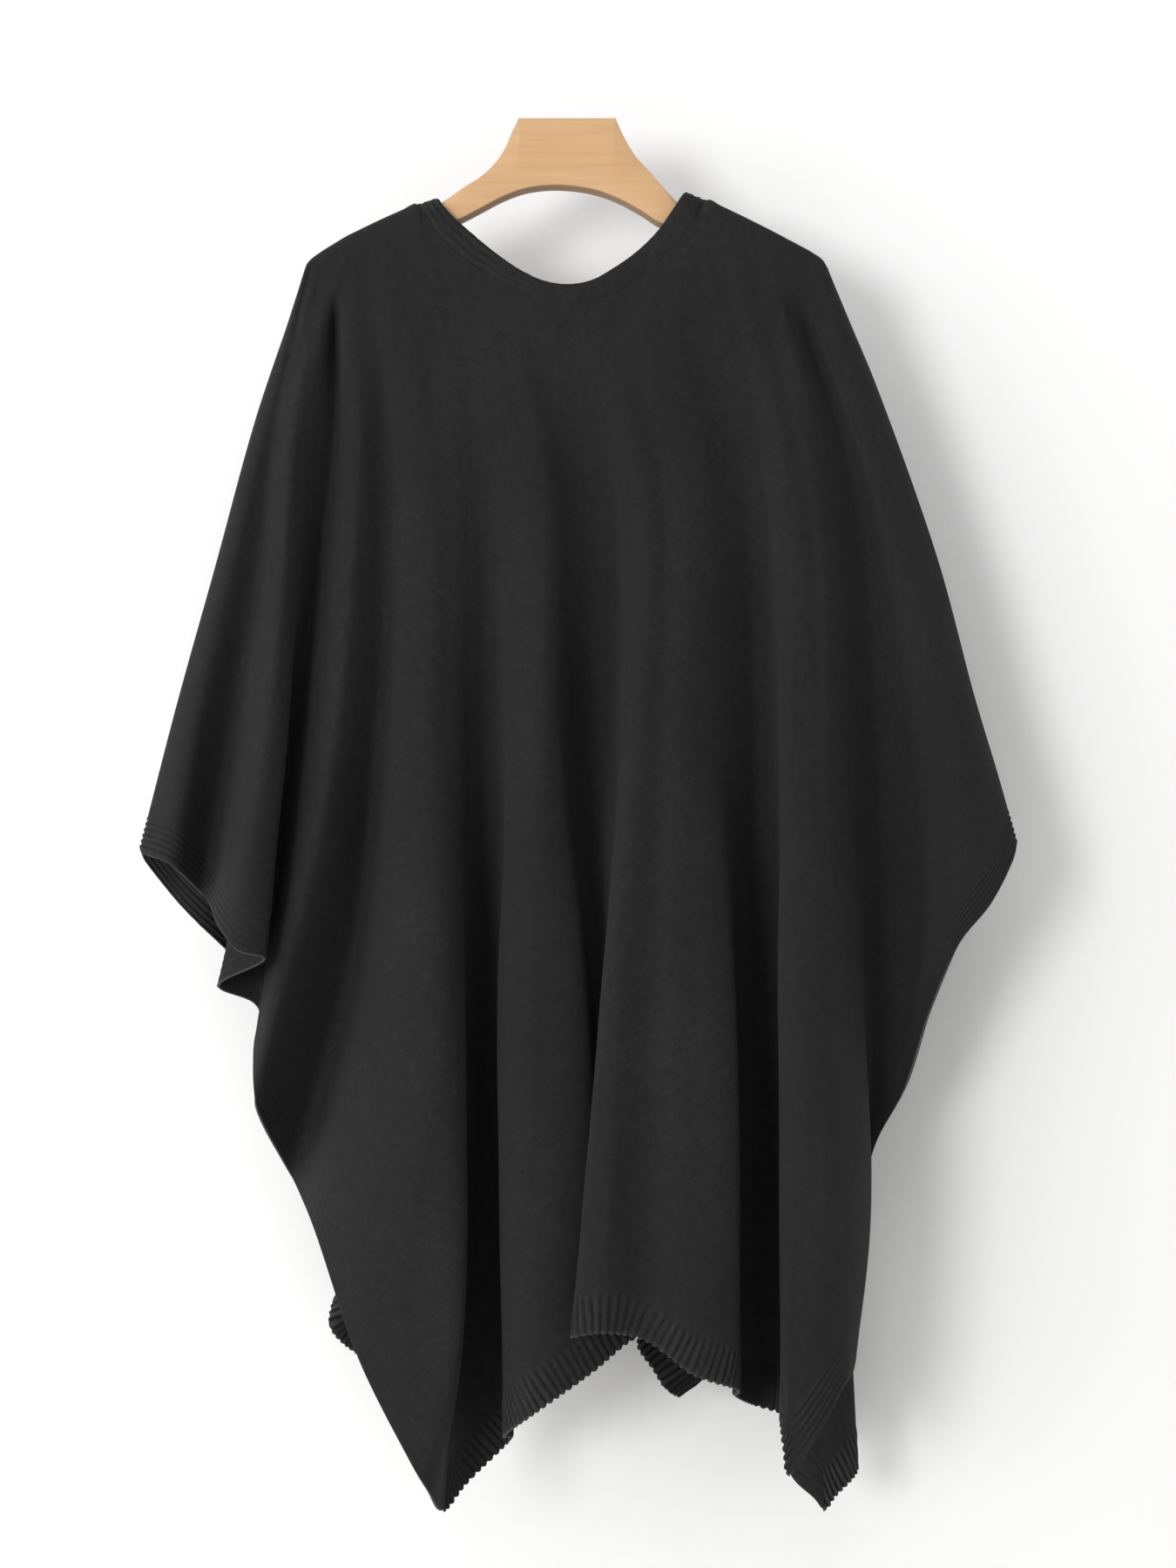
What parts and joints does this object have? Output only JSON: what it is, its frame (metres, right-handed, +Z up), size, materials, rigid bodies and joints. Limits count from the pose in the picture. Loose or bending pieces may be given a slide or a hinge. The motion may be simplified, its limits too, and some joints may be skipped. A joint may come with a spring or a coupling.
{
  "type": "knitted open-front cape on a wooden hanger",
  "caption": "Fine knitted open-front cape with rib bands at its hems, open sides and front edges, hanging in deep soft folds from a plain wooden hanger.",
  "frame": {"origin": "middle of the flat top of the hanger's block, where its hook screws in and the whole hangs", "axes": "+Z up, -Y towards the back of the garment, which the picture shows, +Y towards its fronts, +X to the right as seen from behind"},
  "size_m": [0.6452, 0.194, 1.0216],
  "materials": {
    "wood": "pale wood, clear satin finish",
    "knit": "fine black stocking-stitch knit, slightly brushed",
    "rib": "black ribbed knit"
  },
  "bodies": {
    "root": {"hanger": "wood", "back_panel": "knit", "front_left": "knit", "front_right": "knit", "neck_band": "rib", "band_front_left": "rib", "band_front_right": "rib", "rib_hem_back": "rib", "rib_hem_front_left": "rib", "rib_hem_front_right": "rib", "rib_side_back_left": "rib", "rib_side_back_right": "rib", "rib_side_front_left": "rib", "rib_side_front_right": "rib"}
  },
  "joints": []
}
